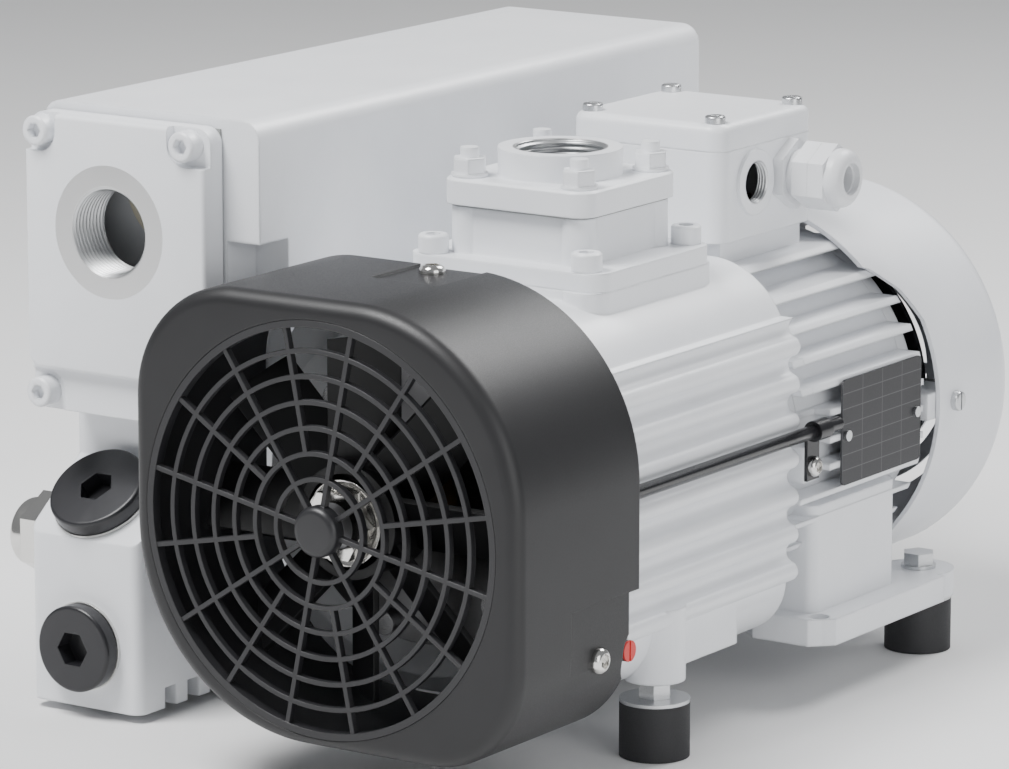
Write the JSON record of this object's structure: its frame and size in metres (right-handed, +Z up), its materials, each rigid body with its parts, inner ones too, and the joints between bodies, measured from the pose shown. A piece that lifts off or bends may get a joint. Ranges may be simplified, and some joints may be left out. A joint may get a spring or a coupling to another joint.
{
  "type": "rotary vane vacuum pump",
  "caption": "Oil-sealed rotary vane vacuum pump with exhaust separator box, threaded inlet, cooling fan cowl and direct drive electric motor on rubber feet.",
  "frame": {"origin": "middle of the underside of the whole pump, at floor level", "axes": "+Z up, +Y along the shaft from the cooling fan to the motor, +X towards the tube and nameplate side"},
  "size_m": [0.3156, 0.4256, 0.265],
  "materials": {
    "white_paint": "satin powder coat over castings",
    "white_sheet": "smooth painted sheet metal",
    "white_fastener": "painted over",
    "black_cowl": "fine grained moulded plastic",
    "dark_grille": "moulded plastic",
    "black_fan": "moulded plastic",
    "black_plug": "smooth black",
    "gasket": "fibre sheet and rubber",
    "seal_ring": "flat sealing washer",
    "nickel": "nickel plated",
    "clear_glass": "clear",
    "machined_iron": "machined",
    "steel": "turned steel",
    "bronze": "bearing bronze",
    "carbon_vane": "pressed composite",
    "elastomer": "coupling elastomer",
    "black_rubber": "rubber",
    "filter_media": "glass fibre filter",
    "zinc": "zinc plated",
    "black_tube": "polyurethane",
    "laminations": "stacked laminations",
    "light_plastic": "moulded plastic",
    "plate_dark": "anodised dark",
    "board_plastic": "moulding compound",
    "cast_aluminium": "turned aluminium"
  },
  "bodies": {
    "pump_body": {"air_tube": "black_tube", "dome_bolts": "nickel", "end_plate_screws": "steel", "exhaust_cover": "white_paint", "exhaust_filters": "filter_media", "exhaust_leaf_stop": "steel", "fan_cowl": "black_cowl", "fan_grille": "dark_grille", "filter_retainer": "steel", "flange_gaskets": "gasket", "foot_hardware": "zinc", "front_end_plate": "machined_iron", "gas_ballast_fitting": "nickel", "gland_body": "light_plastic", "gland_cap": "light_plastic", "inlet_flange": "white_paint", "inlet_strainer": "steel", "inlet_stud_sets": "white_fastener", "m8_socket_screws": "white_fastener", "motor_bearings": "steel", "motor_cowl": "white_sheet", "motor_frame": "white_paint", "motor_front_shield": "white_paint", "motor_rear_shield": "white_paint", "motor_stator": "laminations", "nameplate": "plate_dark", "nameplate_rivets": "zinc", "oil_casing": "white_paint", "plug_seal_rings": "seal_ring", "pump_housing": "white_paint", "rear_end_plate": "machined_iron", "rubber_feet": "black_rubber", "separator_box": "white_paint", "shaft_bushes_seals": "bronze", "sight_glass_body": "nickel", "sight_glass_lens": "clear_glass", "slotted_screws": "zinc", "suction_valve_spring": "steel", "terminal_board": "board_plastic", "terminal_box": "white_paint", "terminal_lid": "white_paint", "tube_clip": "black_tube", "valve_block": "white_paint"},
    "pump_rotor": {"pump_rotor": "machined_iron", "pump_fan": "black_fan", "fan_nut": "nickel", "pump_coupling_hub": "cast_aluminium", "coupling_spider": "elastomer"},
    "motor_rotor": {"motor_rotor": "laminations", "motor_fan": "black_fan", "motor_coupling_hub": "cast_aluminium"},
    "vane_1": {"vane_1": "carbon_vane"},
    "vane_2": {"vane_2": "carbon_vane"},
    "vane_3": {"vane_3": "carbon_vane"},
    "suction_valve": {"suction_valve_disc": "cast_aluminium"},
    "ballast_knob": {"gas_ballast_knob": "black_plug"},
    "float": {"float_arm": "black_rubber"},
    "fill_plug": {"oil_fill_plug": "black_plug"},
    "drain_plug": {"oil_drain_plug": "black_plug"},
    "leaf": {"exhaust_leaf": "steel"}
  },
  "joints": [
    {"name": "motor_shaft_turn", "type": "hinge", "parent": "pump_body", "child": "motor_rotor", "pos_m": [0.0582, 0.09075, 0.115], "axis": [0, 1, 0], "continuous": true},
    {"name": "pump_rotor_turn", "type": "hinge", "parent": "pump_body", "child": "pump_rotor", "pos_m": [0.0582, -0.06925, 0.115], "axis": [0, 1, 0], "continuous": true},
    {"name": "vane_1_slide", "type": "slide", "parent": "pump_rotor", "child": "vane_1", "axis": [0.7071, 0, -0.7071], "range_m": [0, 0.0004]},
    {"name": "vane_2_slide", "type": "slide", "parent": "pump_rotor", "child": "vane_2", "axis": [0.2588, 0, 0.9659], "range_m": [0, 0.0004]},
    {"name": "vane_3_slide", "type": "slide", "parent": "pump_rotor", "child": "vane_3", "axis": [-0.9659, 0, -0.2588], "range_m": [0, 0.0004]},
    {"name": "suction_valve_open", "type": "slide", "parent": "pump_body", "child": "suction_valve", "axis": [0, 0, -1], "range_m": [0, 0.01], "stiffness_N_per_m": 200, "springref_m": -0.006, "deforming": ["suction_valve_spring"]},
    {"name": "gas_ballast_turn", "type": "hinge", "parent": "pump_body", "child": "ballast_knob", "pos_m": [0.1442, -0.11825, 0.059], "axis": [1, 0, 0], "range_deg": [0, 90]},
    {"name": "float_swing", "type": "hinge", "parent": "pump_body", "child": "float", "pos_m": [-0.1078, 0.17575, 0.161], "axis": [1, 0, 0], "range_deg": [-30, 0]},
    {"name": "oil_fill_plug_out", "type": "slide", "parent": "pump_body", "child": "fill_plug", "axis": [0, -0.6139, 0.7894], "range_m": [0, 0.025]},
    {"name": "oil_drain_plug_out", "type": "slide", "parent": "pump_body", "child": "drain_plug", "axis": [0, -1, 0], "range_m": [0, 0.025]},
    {"name": "exhaust_leaf_lift", "type": "hinge", "parent": "pump_body", "child": "leaf", "pos_m": [-0.0258, -0.05325, 0.119], "axis": [0, 1, 0], "range_deg": [0, 12], "stiffness_Nm_per_rad": 0.02, "springref_deg": -11.46}
  ],
  "couplings": [
    {"joint": "pump_rotor_turn", "follows": "motor_shaft_turn", "ratio": 1}
  ]
}
